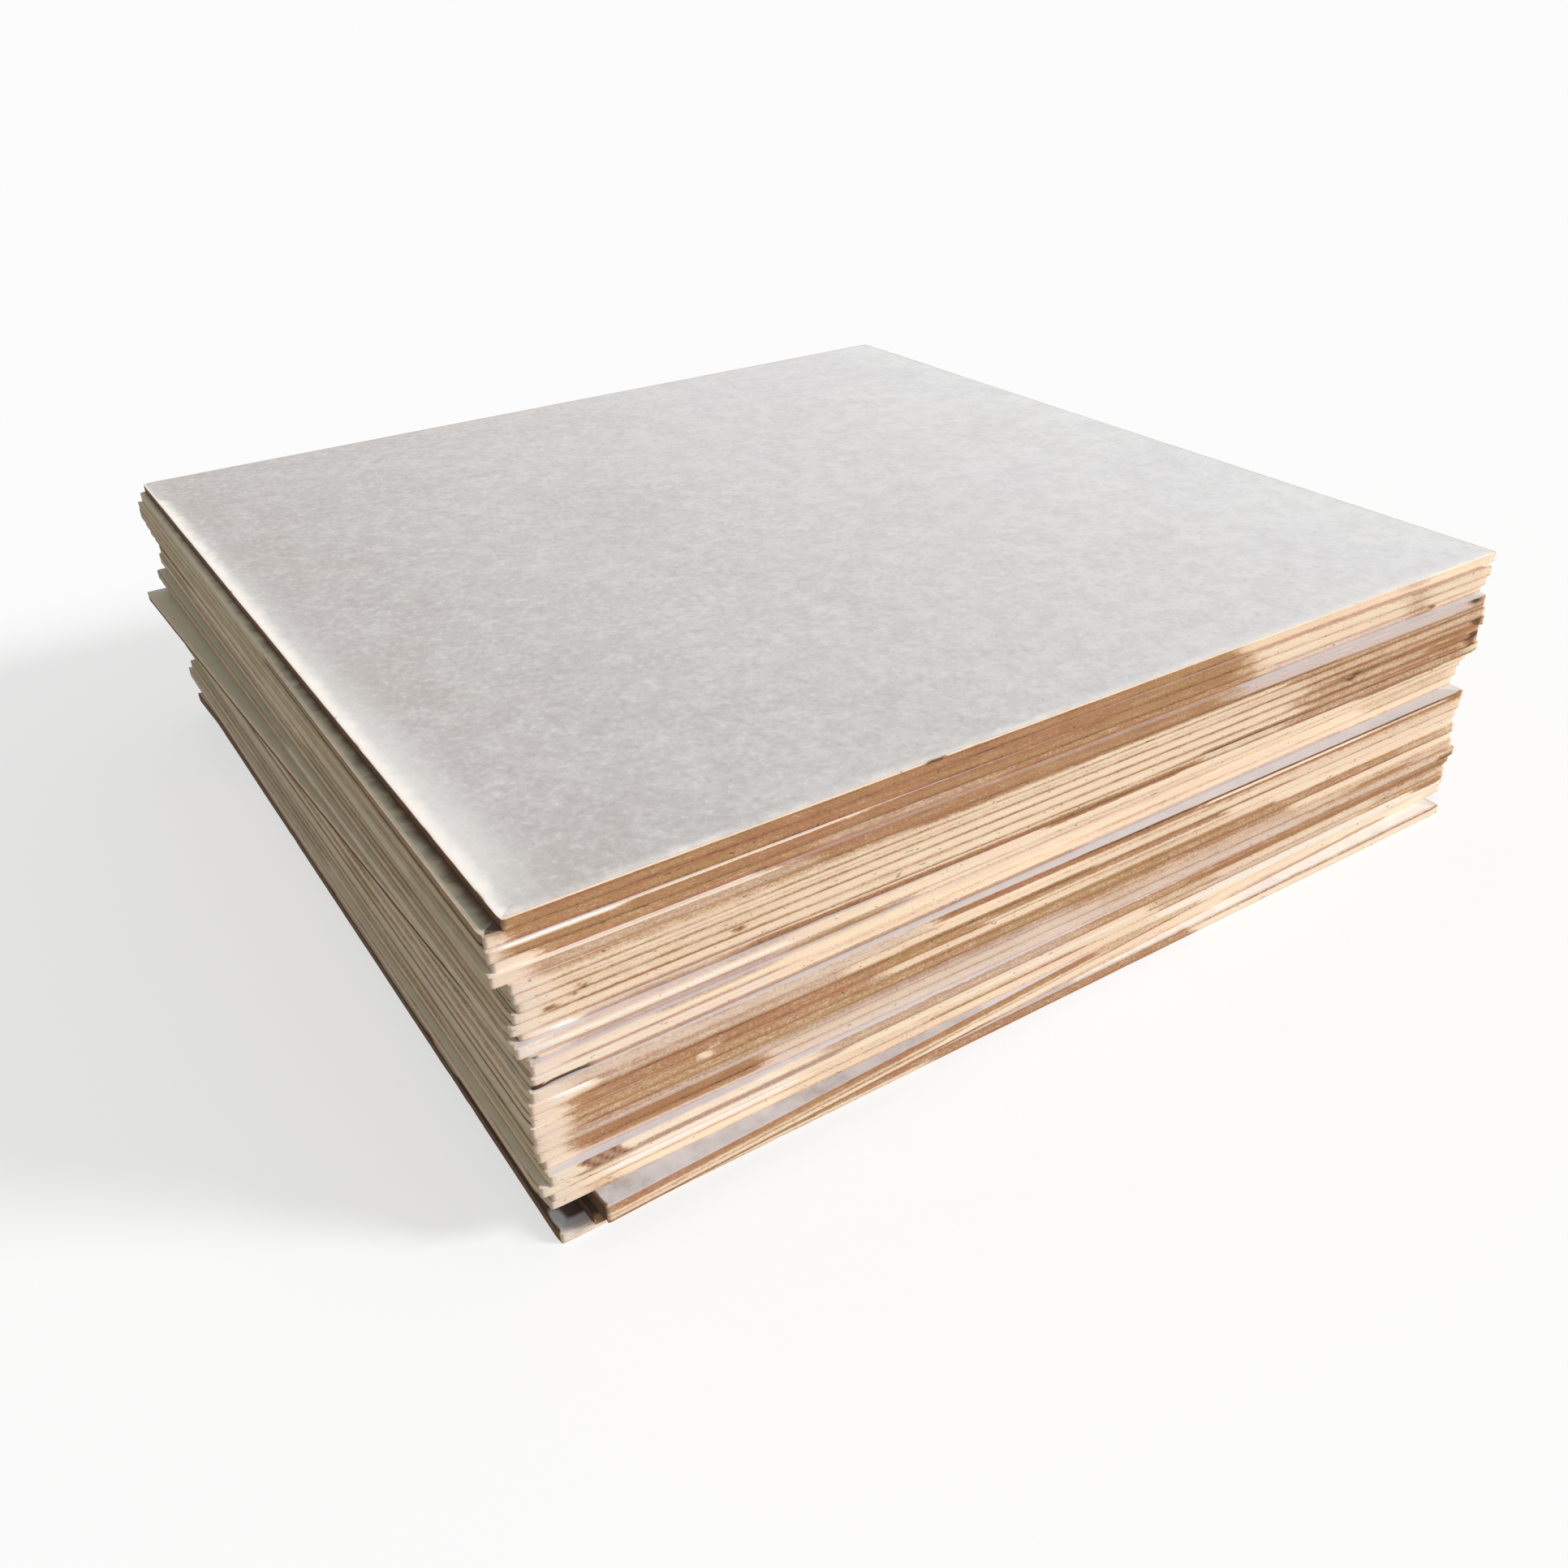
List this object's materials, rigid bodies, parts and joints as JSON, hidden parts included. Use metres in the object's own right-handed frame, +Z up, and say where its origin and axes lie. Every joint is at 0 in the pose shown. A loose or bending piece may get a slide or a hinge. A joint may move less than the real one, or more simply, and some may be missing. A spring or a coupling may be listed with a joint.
{
  "type": "stack of fiberboard sheets",
  "caption": "Hand-piled stack of thin square fiberboard sheets, grey on the face and brown at the sawn edges, with uneven, slightly turned lifts.",
  "frame": {"origin": "middle of the lowest sheet's underside, on the floor", "axes": "+Z up out of the faces, the lowest sheet's edges along X and Y, the front of the stack towards -Y"},
  "size_m": [0.3237, 0.3169, 0.088],
  "materials": {
    "fiberboard": "smooth light grey pressed faces, bare sawn fibre edges from cream to brown"
  },
  "bodies": {
    "root": {"sheet_01": "fiberboard", "sheet_02": "fiberboard", "sheet_03": "fiberboard", "sheet_04": "fiberboard", "sheet_05": "fiberboard", "sheet_06": "fiberboard", "sheet_07": "fiberboard", "sheet_08": "fiberboard", "sheet_09": "fiberboard", "sheet_10": "fiberboard", "sheet_11": "fiberboard", "sheet_12": "fiberboard", "sheet_13": "fiberboard", "sheet_14": "fiberboard", "sheet_15": "fiberboard", "sheet_16": "fiberboard", "sheet_17": "fiberboard", "sheet_18": "fiberboard", "sheet_19": "fiberboard", "sheet_20": "fiberboard", "sheet_21": "fiberboard", "sheet_22": "fiberboard", "sheet_23": "fiberboard", "sheet_24": "fiberboard", "sheet_25": "fiberboard", "sheet_26": "fiberboard", "sheet_27": "fiberboard", "sheet_28": "fiberboard", "sheet_29": "fiberboard", "sheet_30": "fiberboard", "sheet_31": "fiberboard", "sheet_32": "fiberboard"}
  },
  "joints": []
}
